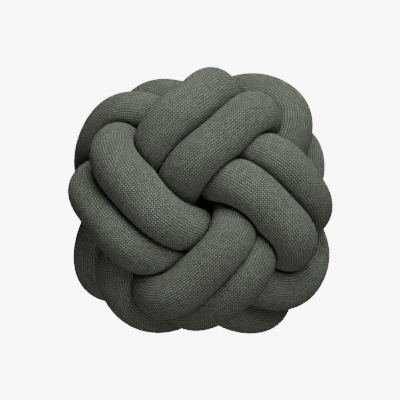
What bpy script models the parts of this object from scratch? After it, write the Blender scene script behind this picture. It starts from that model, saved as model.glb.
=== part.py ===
"""Knot cushion: one long stuffed tube of knitted cloth, tied into a ball and lying on its back.

The tube goes twice round the same path, so it lies everywhere as a pair of lanes. A pair crosses
the top of the ball, dives under the next pair, comes out at a corner, crosses the back, dives
under the next pair there and rises to the top again, three quarters of a turn further on. After
four such quarters the path closes. The two lanes change places once, inside the knot, so the
whole cushion is a single tube without an end.

Frame: +Z up, +X east and +Y north, origin on the floor below the middle of the cushion's box.
"""
import bpy
import numpy as np

MM = 0.001

# ---- driving dimensions ---------------------------------------------------------------------
TUBE_RADIUS = 28.0 * MM        # of the stuffed tube where nothing presses on it
REST_HEIGHT = 84.0 * MM        # of the knot's middle plane above the floor
PRESSED_GAP = 1.6 * MM         # left between two stretches of tube that press on each other
INNER_BEND_SHARE = 0.85        # of a bend's own radius that its inner side may take up
NEAREST_BEND = 1.5 * MM        # centre line nearer than this doesn't count as a bend
LEAST_FACING = 0.001 * MM      # a side that faces a stretch by less never meets it
NEVER_MET = 1.0                # reach of such a side, far beyond the cushion
PRESS_SOFTNESS = 14.0          # how crisply a round side turns into a pressed one
LANE_CHANGE_LIFT = 15.0 * MM   # each lane's offset where the lanes cross inside the knot
SPLINE_SAMPLES = 16            # points on the path from one of its places to the next
RINGS = 300                    # cross-sections along the tube
LINE_POINTS = 4 * RINGS        # places on the centre line that a side may press against
SIDES = 12                     # corners of one cross-section
CLOTH_COLOUR = (0.105, 0.125, 0.100, 1.0)
CLOTH_ROUGHNESS = 0.92

# ---- the path of one quarter ----------------------------------------------------------------
# Each lane is a row of places, from the crown of the north pair on. Azimuth is in degrees, anti-
# clockwise from east, seen from above. Radius and height, from the middle plane, are in mm.
QUARTERS = ("north", "east", "south", "west")
QUARTER_TURN = 270.0           # degrees from one quarter of the path to the next
AZIMUTH, RADIUS, HEIGHT = 1, 2, 3
INNER_LANE = (
    ("crown beside the middle",       115,  48,  65),
    ("dives under the next pair",     163,  35,  46),
    ("under that pair",               203,  62,  24),
    ("comes out at the corner",       213, 110,  19),
    ("bulge of the corner",           225, 137,   8),
    ("goes down to the back",         243, 136, -21),
    ("crown of the back, outside",    261, 112, -54),
    ("dives under the back pair",     281,  86, -40),
    ("under the back pair",           304,  81, -12),
    ("rises at the side",             321, 103,  11),
    ("elbow of the top",              333, 112,  45),
    ("crosses over the last pair",    350,  76,  62),
)
OUTER_LANE = (
    ("crown beside the rim",          119,  98,  53),
    ("dives under the next pair",     143,  78,  36),
    ("under that pair",               169,  80,   9),
    ("comes out below the corner",    191, 115, -13),
    ("low bulge of the corner",       209, 129, -36),
    ("goes in along the back",        228,  92, -57),
    ("crown of the back, inside",     252,  52, -61),
    ("dives under the back pair",     297,  37, -46),
    ("under the back pair",           337,  64, -26),
    ("rises below the elbow",         346, 103, -16),
    ("elbow of the rim",              355, 124,  10),
    ("crosses over the last pair",      9, 113,  38),
)
LANES = {"inner": INNER_LANE, "outer": OUTER_LANE}
PLACES = len(INNER_LANE)
LANE_CHANGE = ("west", 8)      # quarter and place, under the back pair, where the lanes cross

# ---- what hand tying does to the even path --------------------------------------------------
# The top leans as a whole, and each row pushes the tube to one side or makes it plumper around
# one place of the path. Places may lie before a quarter's crown. Pushes are in mm.
TOP_LEAN = (4.0 * MM, -8.0 * MM)
TOP_LEAN_HEIGHT = 60.0 * MM
PUSH_REACH = 1.5               # places
UNEVENNESS = (
    # quarter, lane, place, east, north, plumper by
    ("north", "inner", -1.0,   6,  -5, 0.00),
    ("north", "outer", -0.6,   8,  -5, 0.08),
    ("north", "outer",  0.2,   0,   4, 0.00),
    ("north", "inner",  4.2,  11,  -5, 0.00),
    ("north", "outer",  3.8,   2, -22, 0.00),
    ("east",  "inner", -2.4,  -1,   5, 0.00),
    ("east",  "inner",  0.3,   0,  -7, 0.10),
    ("east",  "outer",  0.0,  -6,  -4, 0.00),
    ("east",  "inner",  4.2,   8,  -4, 0.00),
    ("east",  "outer",  3.5,   3,  -4, 0.00),
    ("south", "inner", -2.3,   6,  -5, 0.00),
    ("south", "inner", -0.6,   5,  -5, 0.00),
    ("south", "outer",  0.3,  -4,   3, 0.00),
    ("south", "inner",  4.2,   2,   0, 0.00),
    ("west",  "inner", -0.6,  -4,  -3, 0.10),
    ("west",  "outer",  0.0,   3,  -2, 0.00),
    ("west",  "inner",  4.2,   2,  -1, 0.00),
    ("west",  "outer",  3.6,  14,  -8, 0.00),
)


def lane_points(lane):
    """The lane's places over all four quarters, as points, each quarter turned on by QUARTER_TURN."""
    rows = LANES[lane] * len(QUARTERS)
    radius = np.array([row[RADIUS] for row in rows]) * MM
    height = np.array([row[HEIGHT] for row in rows]) * MM
    azimuth = np.array([row[AZIMUTH] for row in rows])
    azimuth = np.radians(azimuth + np.repeat(QUARTER_TURN * np.arange(len(QUARTERS)), PLACES))
    return np.column_stack([radius * np.cos(azimuth), radius * np.sin(azimuth), height])


def tied_by_hand(points, lane):
    """The lane's points leaned and pushed as in UNEVENNESS, and the tube's plumpness at each."""
    rise = np.clip(points[:, 2] / TOP_LEAN_HEIGHT, 0.0, 1.0)
    lean = rise * rise * (3.0 - 2.0 * rise)
    points = points + np.outer(lean, (*TOP_LEAN, 0.0))
    plumpness = np.ones(len(points))
    for quarter, pushed_lane, place, east, north, plumper in UNEVENNESS:
        if pushed_lane != lane:
            continue
        centre = QUARTERS.index(quarter) * PLACES + place
        away = np.abs(np.arange(len(points)) - centre % len(points))
        away = np.minimum(away, len(points) - away)
        weight = np.exp(-(away / PUSH_REACH) ** 2)
        points = points + np.outer(weight, (east * MM, north * MM, 0.0))
        plumpness = plumpness + weight * plumper
    return points, plumpness


def joined_lanes():
    """Both lanes as one closed row of points, crossing each other at LANE_CHANGE, and plumpness."""
    quarter, place = LANE_CHANGE
    start = QUARTERS.index(quarter) * PLACES + place
    points, plumpness = [], []
    for lane in LANES:
        lane_path, lane_plumpness = tied_by_hand(lane_points(lane), lane)
        points.append(np.roll(lane_path, -start, axis=0))
        plumpness.append(np.roll(lane_plumpness, -start))
    inner, outer = points
    middle = (inner[0] + outer[0]) / 2.0
    along = inner[1] + outer[1] - inner[-1] - outer[-1]
    lift = np.cross(along, inner[0] - outer[0])
    lift *= LANE_CHANGE_LIFT / np.linalg.norm(lift)
    if lift @ (middle * (1.0, 1.0, 0.0)) < 0.0:
        lift = -lift
    inner[0] = middle + lift
    outer[0] = middle - lift
    return np.vstack(points), np.concatenate(plumpness)


def smooth_loop(values, samples):
    """Closed cubic spline through the rows of values, read at samples between each row and the next.

    The spline's parameter is the distance from row to row, and its second derivatives M solve
    h0 M0 + 2 (h0 + h1) M1 + h1 M2 = 6 (rise1 / h1 - rise0 / h0) at every row.
    """
    count = len(values)
    rise = np.roll(values, -1, axis=0) - values
    step = np.linalg.norm(rise[:, :3], axis=1)
    slope = rise / step[:, None]
    before = np.roll(step, 1)
    system = np.diag(2.0 * (before + step))
    row = np.arange(count)
    system[row, row - 1] = before
    system[row, (row + 1) % count] = step
    bend = np.linalg.solve(system, 6.0 * (slope - np.roll(slope, 1, axis=0)))
    s = (np.arange(samples) / samples)[None, :, None]
    start, end = values[:, None], np.roll(values, -1, axis=0)[:, None]
    start_bend, end_bend = bend[:, None], np.roll(bend, -1, axis=0)[:, None]
    straight = start * (1 - s) + end * s
    bow = start_bend * ((1 - s) ** 3 - (1 - s)) + end_bend * (s ** 3 - s)
    return (straight + bow * step[:, None, None] ** 2 / 6.0).reshape(count * samples, -1)


def evenly_spaced(loop, count):
    """The closed loop's columns read at count places, evenly spaced along its first three."""
    closed = np.vstack([loop, loop[:1]])
    steps = np.linalg.norm(np.diff(closed[:, :3], axis=0), axis=1)
    along = np.concatenate([[0.0], np.cumsum(steps)])
    places = np.linspace(0.0, along[-1], count, endpoint=False)
    columns = [np.interp(places, along, column) for column in closed.T]
    return np.column_stack(columns), along[-1]


def ring_axes(centres):
    """Two unit axes across the tube at each centre, carried along without twist and closed.

    Each axis is the one before it, tilted with the tube's direction, and the angle that is left
    over after the last one is spread evenly over the loop.
    """
    direction = np.roll(centres, -1, axis=0) - np.roll(centres, 1, axis=0)
    direction /= np.linalg.norm(direction, axis=1)[:, None]
    first = np.cross(direction[0], (1.0, 0.0, 0.0))
    carried = [first / np.linalg.norm(first)]
    for step in range(1, len(centres) + 1):
        tangent = direction[step % len(centres)]
        axis = carried[-1] - tangent * (tangent @ carried[-1])
        carried.append(axis / np.linalg.norm(axis))
    left_over = np.arctan2(carried[0] @ np.cross(direction[0], carried[-1]), carried[0] @ carried[-1])
    carried = np.array(carried[:-1])
    across = np.cross(direction, carried)
    turn = left_over * np.arange(len(centres)) / len(centres)
    cos, sin = np.cos(turn)[:, None], np.sin(turn)[:, None]
    return carried * cos + across * sin, across * cos - carried * sin


def pressed_tube():
    """Corners of every ring of the tube, as an array of RINGS x SIDES points above the floor.

    A side of a ring runs out from the centre line until it is as near to another stretch of the
    centre line, less the gap: r = (d * d - g * g) / (2 (e . d + g)), for the offset d to a point of
    that stretch and the side's direction e. The free radius R rounds this off as
    (R ** -p + r ** -p) ** (-1 / p), and the floor cuts it flat.
    """
    points, plumpness = joined_lanes()
    loop = smooth_loop(np.column_stack([points, plumpness]), SPLINE_SAMPLES)
    rings, length = evenly_spaced(loop, RINGS)
    line, _ = evenly_spaced(loop, LINE_POINTS)
    centres, line = rings[:, :3], line[:, :3]
    first, second = ring_axes(centres)
    angle = 2.0 * np.pi * np.arange(SIDES) / SIDES
    sides = first[:, None] * np.cos(angle)[:, None] + second[:, None] * np.sin(angle)[:, None]

    apart = np.abs(np.arange(RINGS)[:, None] / RINGS - np.arange(LINE_POINTS) / LINE_POINTS) * length
    same_stretch = np.minimum(apart, length - apart) < 2.0 * TUBE_RADIUS
    gap = np.where(same_stretch, 0.0, PRESSED_GAP)[:, None]
    share = np.where(same_stretch, INNER_BEND_SHARE, 1.0)[:, None]
    offset = line[None] - centres[:, None]
    distance = np.linalg.norm(offset, axis=2)[:, None]
    facing = np.einsum("rsd,rld->rsl", sides, offset) + gap
    presses = (facing > LEAST_FACING) & (distance > NEAREST_BEND)
    reach = np.full(facing.shape, NEVER_MET)
    np.divide((distance ** 2 - gap ** 2) * share, 2.0 * facing, out=reach, where=presses)
    free = TUBE_RADIUS * rings[:, 3, None]
    radius = (free ** -PRESS_SOFTNESS + reach.min(axis=2) ** -PRESS_SOFTNESS) ** (-1.0 / PRESS_SOFTNESS)
    surface = centres[:, None] + sides * radius[..., None]
    surface[..., 2] = np.maximum(surface[..., 2] + REST_HEIGHT, 0.0)
    box_middle = (surface.min(axis=(0, 1)) + surface.max(axis=(0, 1))) / 2.0
    return surface - box_middle * (1.0, 1.0, 0.0)


def ring_faces():
    """Four-cornered faces between each ring and the next, and between the last and the first."""
    corner = np.arange(RINGS * SIDES).reshape(RINGS, SIDES)
    next_ring = np.roll(corner, -1, axis=0)
    faces = [corner, np.roll(corner, -1, axis=1), np.roll(next_ring, -1, axis=1), next_ring]
    return np.stack(faces, axis=-1).reshape(-1, 4)


def cloth_material():
    """Dark grey-green knitted cloth."""
    material = bpy.data.materials.new("dark_green_melange_knit")
    material.use_nodes = True
    shader = material.node_tree.nodes["Principled BSDF"]
    shader.inputs["Base Color"].default_value = CLOTH_COLOUR
    shader.inputs["Roughness"].default_value = CLOTH_ROUGHNESS
    shader.inputs["Metallic"].default_value = 0.0
    return material


def build_cushion():
    """The whole cushion: one closed tube in a collection of its own."""
    for leftover in list(bpy.data.objects):
        bpy.data.objects.remove(leftover)
    collection = bpy.data.collections.new("knot_cushion")
    bpy.context.scene.collection.children.link(collection)
    mesh = bpy.data.meshes.new("knotted_tube")
    mesh.from_pydata(pressed_tube().reshape(-1, 3).tolist(), [], ring_faces().tolist())
    mesh.shade_smooth()
    mesh.materials.append(cloth_material())
    tube = bpy.data.objects.new("knotted_tube", mesh)
    collection.objects.link(tube)


build_cushion()
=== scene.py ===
"""Knot cushion: a stuffed tube of grey-green knitted cloth, tied into a ball, on its back."""
import math

import bpy
import numpy as np
from mathutils import Matrix


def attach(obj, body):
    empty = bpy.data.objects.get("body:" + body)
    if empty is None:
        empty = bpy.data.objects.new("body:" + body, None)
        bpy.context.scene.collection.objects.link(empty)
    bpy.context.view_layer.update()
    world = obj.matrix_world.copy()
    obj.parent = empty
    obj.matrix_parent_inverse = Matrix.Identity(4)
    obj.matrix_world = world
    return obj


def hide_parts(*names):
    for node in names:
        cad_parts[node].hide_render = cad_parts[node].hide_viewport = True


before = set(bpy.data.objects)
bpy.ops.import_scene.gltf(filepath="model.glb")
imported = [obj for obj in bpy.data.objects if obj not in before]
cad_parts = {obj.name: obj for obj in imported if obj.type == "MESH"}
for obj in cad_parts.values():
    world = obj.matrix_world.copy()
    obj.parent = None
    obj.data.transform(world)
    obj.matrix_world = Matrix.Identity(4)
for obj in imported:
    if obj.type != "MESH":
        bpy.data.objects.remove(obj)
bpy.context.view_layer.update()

# ---- the stuffed tube --------------------------------------------------------------------------
# The whole cushion: a tube of plain knitted cloth, filled with loose polyester fibre and laid
# twice round the same knot, so it shows as pairs of lanes. Its two ends are sewn to each other
# inside the knot. Where two stretches press on each other, the fibre gives and both go flat.
MM = 0.001
TUBE_RADIUS = 28.0 * MM        # of the stuffed tube where nothing presses on it
REST_HEIGHT = 84.0 * MM        # of the knot's middle plane above the floor
PRESSED_GAP = 0.5 * MM         # between two stretches of cloth that press on each other
INNER_BEND_SHARE = 0.85        # of a bend's own radius that its inner side may take up
NEAREST_BEND = 6.0 * MM        # centre line nearer than this doesn't count as a bend
OWN_STRETCH = 2.0              # tube radii along the tube that count as the same stretch
FARTHEST_PRESS = 2.6           # tube radii between centre lines; farther apart, nothing presses
LEAST_FACING = 0.001 * MM      # a side that faces a stretch by less never meets it
NEVER_MET = 1.0                # reach of such a side, far beyond the cushion
PRESS_SOFTNESS = 14.0          # how crisply a round side turns into a pressed one
CREASE_SMOOTHINGS = 2          # times that a side's reach is averaged with its neighbours'
LANE_CHANGE_LIFT = 15.0 * MM   # each lane's offset where the lanes cross inside the knot
FLOOR_SOFTNESS = 1.6 * MM      # how gently the cloth turns where it meets the floor
RINGS, SIDES = 1520, 64        # cross-sections along the tube, and corners of one
SPLINE_SAMPLES = 64            # points on the path from one of its places to the next
LINE_POINTS = 2 * RINGS        # places on the centre line that a side may press against
RINGS_AT_ONCE = 40             # worked out in one array
LUMPS = (
    # Swellings of the uneven filling: share of the radius, waves along, start, twists round
    (0.010, 43, 1.3, 2),
    (0.008, 71, 0.4, -1),
)

# Each lane of one quarter of the path, from the crown of the north pair on. Azimuth is in degrees,
# anticlockwise from east, seen from above. Radius and height, from the middle plane, are in mm.
QUARTERS = ("north", "east", "south", "west")
QUARTER_TURN = 270.0           # degrees from one quarter of the path to the next
AZIMUTH, RADIUS, HEIGHT = 1, 2, 3
INNER_LANE = (
    ("crown beside the middle",       115,  48,  65),
    ("dives under the next pair",     164,  37,  39),
    ("under that pair",               203,  62,  24),
    ("comes out at the corner",       213, 110,  19),
    ("bulge of the corner",           225, 137,   8),
    ("goes down to the back",         243, 136, -21),
    ("crown of the back, outside",    261, 112, -54),
    ("dives under the back pair",     281,  86, -40),
    ("under the back pair",           304,  81, -12),
    ("rises at the side",             321, 103,  11),
    ("elbow of the top",              333, 112,  45),
    ("crosses over the last pair",    350,  76,  62),
)
OUTER_LANE = (
    ("crown beside the rim",          119,  98,  53),
    ("dives under the next pair",     143,  78,  36),
    ("under that pair",               169,  80,   9),
    ("comes out below the corner",    191, 115, -13),
    ("low bulge of the corner",       209, 129, -36),
    ("goes in along the back",        228,  92, -57),
    ("crown of the back, inside",     252,  52, -61),
    ("dives under the back pair",     297,  37, -46),
    ("under the back pair",           337,  64, -26),
    ("rises below the elbow",         346, 103, -16),
    ("elbow of the rim",              355, 124,  10),
    ("crosses over the last pair",      9, 113,  38),
)
LANES = {"inner": INNER_LANE, "outer": OUTER_LANE}
PLACES = len(INNER_LANE)
LANE_CHANGE = ("west", 8)      # quarter and place, under the back pair, where the lanes cross

# What hand tying does to the even path: the top leans as a whole, and each row pushes the tube to
# one side, in mm, or makes it plumper around one place of the path.
TOP_LEAN = (4.0 * MM, -8.0 * MM)
TOP_LEAN_HEIGHT = 60.0 * MM    # above the middle plane, where the lean is full
PUSH_REACH = 1.5               # places to either side that a push moves along
UNEVENNESS = (
    # quarter, lane, place, east, north, plumper by
    ("north", "inner", -1.0,   6,  -5, 0.00),
    ("north", "outer", -0.6,   8,  -5, 0.08),
    ("north", "outer",  0.2,   0,   4, 0.00),
    ("north", "inner",  4.2,  11,  -5, 0.00),
    ("north", "outer",  3.8,   2, -22, 0.00),
    ("east",  "inner", -2.4,  -1,   5, 0.00),
    ("east",  "inner",  0.3,   0,  -7, 0.10),
    ("east",  "outer",  0.0,  -6,  -4, 0.00),
    ("east",  "inner",  4.2,   8,  -4, 0.00),
    ("east",  "outer",  3.5,   3,  -4, 0.00),
    ("south", "inner", -2.3,   6,  -5, 0.00),
    ("south", "inner", -0.6,   5,  -5, 0.00),
    ("south", "outer",  0.3,  -4,   3, 0.00),
    ("south", "inner",  4.2,   2,   0, 0.00),
    ("west",  "inner", -0.6,  -4,  -3, 0.10),
    ("west",  "outer",  0.0,   3,  -2, 0.00),
    ("west",  "inner",  4.2,   2,  -1, 0.00),
    ("west",  "outer",  3.6,  14,  -8, 0.00),
)


def lane_points(lane):
    """Points of a lane over all four quarters: (r cos a, r sin a, h), a turned by QUARTER_TURN."""
    rows = LANES[lane] * len(QUARTERS)
    radius = np.array([row[RADIUS] for row in rows]) * MM
    height = np.array([row[HEIGHT] for row in rows]) * MM
    turns = np.repeat(QUARTER_TURN * np.arange(len(QUARTERS)), PLACES)
    azimuth = np.radians(np.array([row[AZIMUTH] for row in rows]) + turns)
    return np.column_stack([radius * np.cos(azimuth), radius * np.sin(azimuth), height])


def tied_by_hand(points, lane):
    """The points leaned and pushed, and the tube's plumpness at each.

    The lean grows with height as 3 t^2 - 2 t^3, and a push fades along the lane as
    exp(-(n / reach)^2) with the number n of places away from it.
    """
    rise = np.clip(points[:, 2] / TOP_LEAN_HEIGHT, 0.0, 1.0)
    lean = rise * rise * (3.0 - 2.0 * rise)
    points = points + np.outer(lean, (*TOP_LEAN, 0.0))
    plumpness = np.ones(len(points))
    for quarter, pushed_lane, place, east, north, plumper in UNEVENNESS:
        if pushed_lane != lane:
            continue
        centre = QUARTERS.index(quarter) * PLACES + place
        away = np.abs(np.arange(len(points)) - centre % len(points))
        away = np.minimum(away, len(points) - away)
        weight = np.exp(-(away / PUSH_REACH) ** 2)
        points = points + np.outer(weight, (east * MM, north * MM, 0.0))
        plumpness = plumpness + weight * plumper
    return points, plumpness


def joined_lanes():
    """Both lanes as one closed row of points, and the tube's plumpness at each.

    At LANE_CHANGE each lane runs on into the other. Their two points there move to the middle
    between them, one lifted and one lowered, square to the tube, so that they pass each other.
    """
    quarter, place = LANE_CHANGE
    start = QUARTERS.index(quarter) * PLACES + place
    points, plumpness = [], []
    for lane in LANES:
        lane_path, lane_plumpness = tied_by_hand(lane_points(lane), lane)
        points.append(np.roll(lane_path, -start, axis=0))
        plumpness.append(np.roll(lane_plumpness, -start))
    inner, outer = points
    middle = (inner[0] + outer[0]) / 2.0
    along = inner[1] + outer[1] - inner[-1] - outer[-1]
    lift = np.cross(along, inner[0] - outer[0])
    lift *= LANE_CHANGE_LIFT / np.linalg.norm(lift)
    if lift @ (middle * (1.0, 1.0, 0.0)) < 0.0:
        lift = -lift
    inner[0] = middle + lift
    outer[0] = middle - lift
    return np.vstack(points), np.concatenate(plumpness)


def smooth_loop(values):
    """Closed cubic spline through the rows of values, SPLINE_SAMPLES from each row to the next.

    The spline's parameter is the distance from row to row, and its second derivatives M solve
    h0 M0 + 2 (h0 + h1) M1 + h1 M2 = 6 (rise1 / h1 - rise0 / h0) at every row.
    """
    count = len(values)
    rise = np.roll(values, -1, axis=0) - values
    step = np.linalg.norm(rise[:, :3], axis=1)
    slope = rise / step[:, None]
    before = np.roll(step, 1)
    system = np.diag(2.0 * (before + step))
    row = np.arange(count)
    system[row, row - 1] = before
    system[row, (row + 1) % count] = step
    bend = np.linalg.solve(system, 6.0 * (slope - np.roll(slope, 1, axis=0)))
    s = (np.arange(SPLINE_SAMPLES) / SPLINE_SAMPLES)[None, :, None]
    start, end = values[:, None], np.roll(values, -1, axis=0)[:, None]
    start_bend, end_bend = bend[:, None], np.roll(bend, -1, axis=0)[:, None]
    straight = start * (1 - s) + end * s
    bow = start_bend * ((1 - s) ** 3 - (1 - s)) + end_bend * (s ** 3 - s)
    samples = straight + bow * step[:, None, None] ** 2 / 6.0
    return samples.reshape(count * SPLINE_SAMPLES, -1)


def evenly_spaced(loop, count):
    """The closed loop's columns read at count places, evenly spaced along its first three."""
    closed = np.vstack([loop, loop[:1]])
    steps = np.linalg.norm(np.diff(closed[:, :3], axis=0), axis=1)
    along = np.concatenate([[0.0], np.cumsum(steps)])
    places = np.linspace(0.0, along[-1], count, endpoint=False)
    columns = [np.interp(places, along, column) for column in closed.T]
    return np.column_stack(columns), along[-1]


def ring_axes(centres):
    """Two unit axes across the tube at each centre, carried along without twist and closed.

    Each axis is the one before it, less its part along the tube, made unit length again. The angle
    that is left over after the last one is spread evenly over the loop.
    """
    direction = np.roll(centres, -1, axis=0) - np.roll(centres, 1, axis=0)
    direction /= np.linalg.norm(direction, axis=1)[:, None]
    first = np.cross(direction[0], (1.0, 0.0, 0.0))
    carried = [first / np.linalg.norm(first)]
    for step in range(1, len(centres) + 1):
        tangent = direction[step % len(centres)]
        axis = carried[-1] - tangent * (tangent @ carried[-1])
        carried.append(axis / np.linalg.norm(axis))
    start, end = carried[0], carried[-1]
    left_over = np.arctan2(start @ np.cross(direction[0], end), start @ end)
    carried = np.array(carried[:-1])
    across = np.cross(direction, carried)
    turn = left_over * np.arange(len(centres)) / len(centres)
    cos, sin = np.cos(turn)[:, None], np.sin(turn)[:, None]
    return carried * cos + across * sin, across * cos - carried * sin


def pressed_reach(centres, sides, line, length):
    """How far each side of each ring may run out before it meets another stretch of the tube.

    A side runs until it is as near to another stretch of the centre line as to its own, less the
    gap: r = (d * d - g * g) / (2 (e . d + g)), for the offset d to a point of the line and the
    side's direction e. On the same stretch g is 0 and the result is a share of the bend's radius.
    """
    reach = np.full(sides.shape[:2], NEVER_MET)
    ring_place = np.arange(RINGS) / RINGS * length
    line_place = np.arange(LINE_POINTS) / LINE_POINTS * length
    for start in range(0, RINGS, RINGS_AT_ONCE):
        some = slice(start, start + RINGS_AT_ONCE)
        offset = line[None] - centres[some, None]
        near = (np.linalg.norm(offset, axis=2) < FARTHEST_PRESS * TUBE_RADIUS).any(axis=0)
        offset = offset[:, near]
        distance = np.linalg.norm(offset, axis=2)[:, None]
        apart = np.abs(ring_place[some, None] - line_place[None, near])
        same_stretch = np.minimum(apart, length - apart) < OWN_STRETCH * TUBE_RADIUS
        gap = np.where(same_stretch, 0.0, PRESSED_GAP)[:, None]
        share = np.where(same_stretch, INNER_BEND_SHARE, 1.0)[:, None]
        facing = np.einsum("rsd,rld->rsl", sides[some], offset) + gap
        presses = (facing > LEAST_FACING) & (distance > NEAREST_BEND)
        out = np.full(facing.shape, NEVER_MET)
        np.divide((distance ** 2 - gap ** 2) * share, 2.0 * facing, out=out, where=presses)
        reach[some] = out.min(axis=2)
    return reach


def softened(field, times):
    """The field averaged with its neighbours along and around the tube, 1 2 1, so many times."""
    for _ in range(times):
        field = (np.roll(field, 1, axis=0) + 2.0 * field + np.roll(field, -1, axis=0)) / 4.0
        field = (np.roll(field, 1, axis=1) + 2.0 * field + np.roll(field, -1, axis=1)) / 4.0
    return field


def stuffed_tube():
    """Corners of every ring of the tube, as an array of RINGS x SIDES points above the floor.

    A corner is c + e r for the ring's centre c and the side's direction e. Its distance r is
    (R ** -p + reach ** -p) ** (-1 / p), with the free radius R, which swells and thins a little as
    the fibre does: R = radius * plumpness * (1 + lumps), each lump a sine over both directions.
    The floor turns height z into (z + sqrt(z * z + s * s)) / 2.
    """
    points, plumpness = joined_lanes()
    loop = smooth_loop(np.column_stack([points, plumpness]))
    rings, length = evenly_spaced(loop, RINGS)
    line, _ = evenly_spaced(loop, LINE_POINTS)
    centres, line = rings[:, :3], line[:, :3]
    first, second = ring_axes(centres)
    around = 2.0 * np.pi * np.arange(SIDES) / SIDES
    sides = first[:, None] * np.cos(around)[:, None] + second[:, None] * np.sin(around)[:, None]
    reach = softened(pressed_reach(centres, sides, line, length), CREASE_SMOOTHINGS)
    along = (2.0 * np.pi * np.arange(RINGS) / RINGS)[:, None]
    lumps = sum(
        share * np.sin(waves * along + start + twists * around)
        for share, waves, start, twists in LUMPS
    )
    free = TUBE_RADIUS * rings[:, 3, None] * (1.0 + lumps)
    radius = (free ** -PRESS_SOFTNESS + reach ** -PRESS_SOFTNESS) ** (-1.0 / PRESS_SOFTNESS)
    surface = centres[:, None] + sides * radius[..., None]
    height = surface[..., 2] + REST_HEIGHT
    surface[..., 2] = (height + np.sqrt(height ** 2 + FLOOR_SOFTNESS ** 2)) / 2.0
    box_middle = (surface.min(axis=(0, 1)) + surface.max(axis=(0, 1))) / 2.0
    return surface - box_middle * (1.0, 1.0, 0.0)


def ring_faces():
    """Four-cornered faces between each ring and the next, and between the last and the first."""
    corner = np.arange(RINGS * SIDES).reshape(RINGS, SIDES)
    next_ring = np.roll(corner, -1, axis=0)
    faces = [corner, np.roll(corner, -1, axis=1), np.roll(next_ring, -1, axis=1), next_ring]
    return np.stack(faces, axis=-1).reshape(-1, 4)


# A plain knit of a melange yarn, wool with polyester. Its wales, the columns of V-shaped stitches,
# run along the tube, and its courses, the rows, run round it.
WALES = 60                     # round the tube: 2.9 mm each on a tube of 56 mm
COURSE = 3.1 * MM              # from one row to the next
LEG_CLIMB = 2.0                # courses that a leg of a V would rise over a whole wale
STITCH_RELIEF = 0.7 * MM       # from the ground of the knit to the crown of a leg
LOW_ALONG_LEG = 0.1            # yarn's height at a leg's ends, its middle being 1
LOW_BETWEEN_LEGS = 0.75        # and between the legs of a V
LOW_BETWEEN_WALES = 0.15       # and between one wale and the next
LEG_PLACE = 0.18               # of a leg's crown, in wales from the wale's middle
LEG_FLANK = (0.36, 0.65)       # of a leg's outer flank, and the yarn's height there
ROW_DRIFT = 0.4                # stitches by which the rows wander
DRIFT_SCALE = 0.10             # of their wandering, in waves per stitch
DRIFT_DETAIL = 2.0             # finer waves on top of those
DARKEST_STITCH = 0.87          # lightness of a stitch as a share of the usual one's
LIGHTEST_STITCH = 1.10
# The knit's colour runs from painted shade low between the stitches to painted light on the legs'
# crowns.
YARN_LIT_CROWN = "#c9d2be"         # on the crown of a leg
YARN_MIDDLE = "#6e7767"
YARN_SHADE_BETWEEN_STITCHES = "#1a1e17"          # down between the stitches
YARN_MIDDLE_HEIGHT = 0.5
MELANGE_OLIVE = "#70704e"
MELANGE_BLUE = "#60697a"
MELANGE_SHARE = 0.12           # of a stitch's own tint
YARN_ROUGHNESS = 0.92
YARN_IOR = 1.5                 # of wool and polyester
YARN_SPECULAR = 0.25           # half the usual gloss, because the fibres scatter it
FUZZ = 0.03                    # sheen of the few fibres that stand off the yarn
FUZZ_ROUGHNESS = 0.5
MIX_FIRST, MIX_SECOND = 6, 7   # a Mix node's inputs for colours
MIX_RESULT = 2                 # and its output for them


def stitch_coordinates(surface):
    """The corners' places on the knit, face by face: wales round the tube and courses along it.

    From one ring to the next the courses go on by the longest step between two of their corners,
    over a course's height: cloth isn't stretched outside a bend, and bunches inside it. Both are
    whole numbers over the closed tube, so the knit has no seam.
    """
    steps = np.linalg.norm(np.roll(surface, -1, axis=0) - surface, axis=2).max(axis=1)
    along = np.concatenate([[0.0], np.cumsum(steps)])
    courses = along * (round(along[-1] / COURSE) / along[-1])
    ring, side = np.meshgrid(np.arange(RINGS), np.arange(SIDES), indexing="ij")
    rings = courses[np.stack([ring, ring, ring + 1, ring + 1], axis=-1)]
    sides = np.stack([side, side + 1, side + 1, side], axis=-1) * (WALES / SIDES)
    return np.stack([sides, rings], axis=-1).reshape(-1)


def add_node(tree, kind, inputs, **settings):
    """A new node of a kind in the tree, with its settings. Inputs are values or nodes' outputs."""
    node = tree.nodes.new(kind)
    for name, value in settings.items():
        setattr(node, name, value)
    for socket, value in inputs.items():
        if isinstance(value, bpy.types.NodeSocket):
            tree.links.new(value, node.inputs[socket])
        else:
            node.inputs[socket].default_value = value
    return node


def linear(colour):
    """A hex sRGB colour as linear red, green, blue and alpha."""
    parts = [int(colour[i:i + 2], 16) / 255.0 for i in (1, 3, 5)]
    parts = [c / 12.92 if c <= 0.04045 else ((c + 0.055) / 1.055) ** 2.4 for c in parts]
    return (*parts, 1.0)


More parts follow.
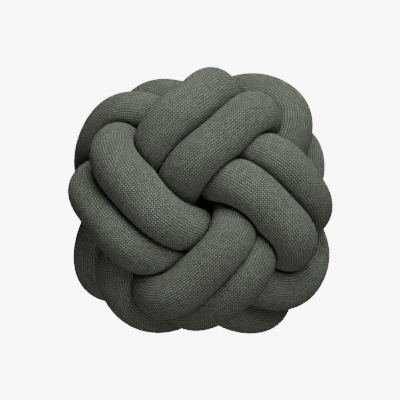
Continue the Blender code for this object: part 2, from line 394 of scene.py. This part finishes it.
def knit_material():
    """Plain knit of melange yarn: rows of small Vs, with painted shade between the stitches,
    without gloss.

    The fold b of a number is its distance to the nearest whole one, 0 to 0.5. A wale's middle is at
    b(u) = 0 and its edge at 0.5, and the two legs of each V stand at LEG_PLACE. A leg's own height
    along the tube is b(v + climb * b(u)), so the two legs lean away from each other. The relief is
    the height across the wale times the height along the leg, and gives the bump and the colour:
    painted shade where the relief is low, painted light on the crowns, times each stitch's own
    tone.
    """
    material = bpy.data.materials.new("melange_knit")
    material.use_nodes = True
    tree = material.node_tree
    shader = tree.nodes["Principled BSDF"]

    rows = add_node(tree, "ShaderNodeUVMap", {}, uv_map="knit")
    drift = add_node(
        tree, "ShaderNodeTexNoise",
        {"Vector": rows.outputs[0], "Scale": DRIFT_SCALE, "Detail": DRIFT_DETAIL},
        noise_dimensions="2D",
    )
    wandering = add_node(
        tree, "ShaderNodeVectorMath",
        {0: drift.outputs["Color"], 1: (2.0 * ROW_DRIFT, 2.0 * ROW_DRIFT, 0.0), 2: rows.outputs[0]},
        operation="MULTIPLY_ADD",
    )
    place = add_node(tree, "ShaderNodeSeparateXYZ", {0: wandering.outputs[0]})
    across = add_node(tree, "ShaderNodeMath", {0: place.outputs["X"], 1: 0.5}, operation="PINGPONG")
    climb = add_node(
        tree, "ShaderNodeMath", {0: across.outputs[0], 1: LEG_CLIMB, 2: place.outputs["Y"]},
        operation="MULTIPLY_ADD",
    )
    along = add_node(tree, "ShaderNodeMath", {0: climb.outputs[0], 1: 0.5}, operation="PINGPONG")
    bead = add_node(
        tree, "ShaderNodeMapRange",
        {"Value": along.outputs[0], "From Max": 0.5, "To Min": LOW_ALONG_LEG, "To Max": 1.0},
        interpolation_type="SMOOTHSTEP",
    )
    legs = add_node(tree, "ShaderNodeFloatCurve", {"Value": across.outputs[0]})
    profile = legs.mapping.curves[0].points
    profile[0].location = (0.0, LOW_BETWEEN_LEGS)
    profile[1].location = (0.5, LOW_BETWEEN_WALES)
    profile.new(LEG_PLACE, 1.0)
    profile.new(*LEG_FLANK)
    legs.mapping.update()
    relief = add_node(
        tree, "ShaderNodeMath", {0: legs.outputs[0], 1: bead.outputs[0]}, operation="MULTIPLY",
    )

    wale_number = add_node(tree, "ShaderNodeMath", {0: place.outputs["X"]}, operation="ROUND")
    course_number = add_node(tree, "ShaderNodeMath", {0: climb.outputs[0]}, operation="FLOOR")
    stitch = add_node(
        tree, "ShaderNodeCombineXYZ", {0: wale_number.outputs[0], 1: course_number.outputs[0]},
    )
    yarn = add_node(tree, "ShaderNodeTexWhiteNoise", {0: stitch.outputs[0]}, noise_dimensions="2D")
    tone = add_node(
        tree, "ShaderNodeMapRange",
        {"Value": yarn.outputs["Value"], "To Min": DARKEST_STITCH, "To Max": LIGHTEST_STITCH},
    )
    relief_shade_and_tone = add_node(
        tree, "ShaderNodeMath", {0: relief.outputs[0], 1: tone.outputs[0]}, operation="MULTIPLY",
    )
    # Painted shade and light: the colour darkens with the depth of the relief and is lightest on
    # the crowns.
    relief_shade_ramp = add_node(tree, "ShaderNodeValToRGB", {0: relief_shade_and_tone.outputs[0]})
    relief_shade_ramp.color_ramp.elements[0].color = linear(YARN_SHADE_BETWEEN_STITCHES)
    relief_shade_ramp.color_ramp.elements[1].color = linear(YARN_LIT_CROWN)
    relief_shade_ramp.color_ramp.elements.new(YARN_MIDDLE_HEIGHT).color = linear(YARN_MIDDLE)
    melange = add_node(
        tree, "ShaderNodeMix",
        {
            "Factor": yarn.outputs["Color"],
            MIX_FIRST: linear(MELANGE_OLIVE),
            MIX_SECOND: linear(MELANGE_BLUE),
        },
        data_type="RGBA",
    )
    colour = add_node(
        tree, "ShaderNodeMix",
        {
            "Factor": MELANGE_SHARE,
            MIX_FIRST: relief_shade_ramp.outputs[0],
            MIX_SECOND: melange.outputs[MIX_RESULT],
        },
        data_type="RGBA", blend_type="COLOR",
    )
    tree.links.new(colour.outputs[MIX_RESULT], shader.inputs["Base Color"])

    bump = add_node(
        tree, "ShaderNodeBump",
        {"Height": relief.outputs[0], "Distance": STITCH_RELIEF, "Strength": 1.0},
    )
    tree.links.new(bump.outputs[0], shader.inputs["Normal"])
    shader.inputs["Roughness"].default_value = YARN_ROUGHNESS
    shader.inputs["IOR"].default_value = YARN_IOR
    shader.inputs["Specular IOR Level"].default_value = YARN_SPECULAR
    shader.inputs["Sheen Weight"].default_value = FUZZ
    shader.inputs["Sheen Roughness"].default_value = FUZZ_ROUGHNESS
    return material


def knotted_tube():
    """The cushion's mesh: the stuffed tube's rings joined by faces, with the knit's UV map."""
    surface = stuffed_tube()
    mesh = bpy.data.meshes.new("knotted_tube_knit")
    mesh.from_pydata(surface.reshape(-1, 3).tolist(), [], ring_faces().tolist())
    knit = mesh.uv_layers.new(name="knit")
    knit.data.foreach_set("uv", stitch_coordinates(surface))
    mesh.shade_smooth()
    mesh.materials.append(knit_material())
    tube = bpy.data.objects.new("knotted_tube_knit", mesh)
    bpy.context.scene.collection.objects.link(tube)
    return tube


cushion = knotted_tube()
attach(cushion, "root")
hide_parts("knotted_tube")

# ---- the floor ---------------------------------------------------------------------------------
# A plain pale studio floor, wide enough to fill every view: a white acrylic board lit from below,
# all but the spot under the cushion, which is left dark as a painted shadow. It gives no light back
# to the cushion, whose sides stay dark.
FLOOR_SIDE = 16.0
FLOOR_GLOW = 8.5               # white after the render's soft highlights
# Painted shadow under the cushion: inside this radius the board doesn't glow at all.
PAINTED_SHADOW_RADIUS = 0.07               # radius that doesn't glow at all
GLOWING_FROM = 0.14            # radius from which the board glows evenly
GLOW_COLOUR = "#ffffff"
BOARD_COLOUR = "#5a5a5a"       # of the board itself, without its glow
BOARD_ROUGHNESS = 0.95


def floor_material():
    """White acrylic lit from below, left dark under the cushion as a painted shadow, its glow
    growing smoothly out to GLOWING_FROM.
    """
    material = bpy.data.materials.new("lit_white_acrylic")
    material.use_nodes = True
    tree = material.node_tree
    shader = tree.nodes["Principled BSDF"]
    shader.inputs["Base Color"].default_value = linear(BOARD_COLOUR)
    shader.inputs["Roughness"].default_value = BOARD_ROUGHNESS
    shader.inputs["Specular IOR Level"].default_value = 0.0
    shader.inputs["Emission Color"].default_value = linear(GLOW_COLOUR)
    place = add_node(tree, "ShaderNodeTexCoord", {})
    from_middle = add_node(
        tree, "ShaderNodeVectorMath", {0: place.outputs["Object"]}, operation="LENGTH",
    )
    # The glow is left out under the cushion, as a painted shadow.
    glow = add_node(
        tree, "ShaderNodeMapRange",
        {
            "Value": from_middle.outputs["Value"],
            "From Min": PAINTED_SHADOW_RADIUS, "From Max": GLOWING_FROM, "To Min": 0.0, "To Max": FLOOR_GLOW,
        },
        interpolation_type="SMOOTHSTEP",
    )
    tree.links.new(glow.outputs[0], shader.inputs["Emission Strength"])
    return material


half = FLOOR_SIDE / 2.0
corners = [(-half, -half, 0.0), (half, -half, 0.0), (half, half, 0.0), (-half, half, 0.0)]
floor_mesh = bpy.data.meshes.new("studio_floor")
floor_mesh.from_pydata(corners, [], [(0, 1, 2, 3)])
floor_mesh.materials.append(floor_material())
studio_floor = bpy.data.objects.new("studio_floor", floor_mesh)
bpy.context.scene.collection.objects.link(studio_floor)
studio_floor.visible_diffuse = False
studio_floor.visible_glossy = False

# ---- light -------------------------------------------------------------------------------------
# Three large soft boxes at one distance: the key beyond the top of the picture, rather low, a
# weaker one at its upper right, and a weak one beyond the bottom. The room round them is dark.
ROOM_COLOUR = "#ffffff"
ROOM_STRENGTH = 0.035
LAMP_DISTANCE = 3.0
SOFT_BOX_SIDE = 1.8


def soft_box(name, azimuth, elevation, watts):
    """A square area light, LAMP_DISTANCE from the middle of the cushion and facing it.

    Azimuth is in degrees, anticlockwise from +X, and elevation in degrees from level.
    """
    lamp = bpy.data.lights.new(name, "AREA")
    lamp.size = SOFT_BOX_SIDE
    lamp.energy = watts
    box = bpy.data.objects.new(name, lamp)
    bpy.context.scene.collection.objects.link(box)
    azimuth, elevation = math.radians(azimuth), math.radians(elevation)
    box.location = (
        LAMP_DISTANCE * math.cos(elevation) * math.cos(azimuth),
        LAMP_DISTANCE * math.cos(elevation) * math.sin(azimuth),
        LAMP_DISTANCE * math.sin(elevation) + REST_HEIGHT,
    )
    box.rotation_euler = (math.pi / 2.0 - elevation, 0.0, azimuth + math.pi / 2.0)


soft_box("key_soft_box", azimuth=88.0, elevation=30.0, watts=70.0)
soft_box("right_soft_box", azimuth=43.0, elevation=49.0, watts=36.0)
soft_box("fill_soft_box", azimuth=262.0, elevation=38.0, watts=23.0)

world = bpy.data.worlds.new("dark_room")
bpy.context.scene.world = world
world.use_nodes = True
room = world.node_tree.nodes["Background"]
room.inputs["Color"].default_value = linear(ROOM_COLOUR)
room.inputs["Strength"].default_value = ROOM_STRENGTH

# ---- camera ------------------------------------------------------------------------------------
# Above the cushion's face, leaning a little towards the near edge and the left, with a long lens,
# so that the tubes in front and behind show at nearly one scale.
CAMERA_DISTANCE = 2.6
CAMERA_LEAN = math.radians(6.0)      # from straight above, towards -Y
CAMERA_SIDEWAYS = math.radians(3.0)  # towards -X
FIELD = 458.0 * MM                   # seen across at the cushion's middle plane
SENSOR = 36.0                        # in mm, as the lens is

camera = bpy.data.cameras.new("photo_camera")
camera.sensor_width = SENSOR
camera.lens = SENSOR * CAMERA_DISTANCE / FIELD
viewpoint = bpy.data.objects.new("photo_camera", camera)
bpy.context.scene.collection.objects.link(viewpoint)
target = np.array([0.0, 0.0, REST_HEIGHT])
towards = np.array([
    -math.sin(CAMERA_SIDEWAYS) * math.cos(CAMERA_LEAN),
    -math.sin(CAMERA_LEAN),
    math.cos(CAMERA_LEAN) * math.cos(CAMERA_SIDEWAYS),
])
right = np.cross((0.0, 1.0, 0.0), towards)
right /= np.linalg.norm(right)
up = np.cross(towards, right)
place = target + towards * CAMERA_DISTANCE
viewpoint.matrix_world = Matrix(np.vstack([
    np.column_stack([right, up, towards, place]),
    (0.0, 0.0, 0.0, 1.0),
]).tolist())
bpy.context.scene.camera = viewpoint
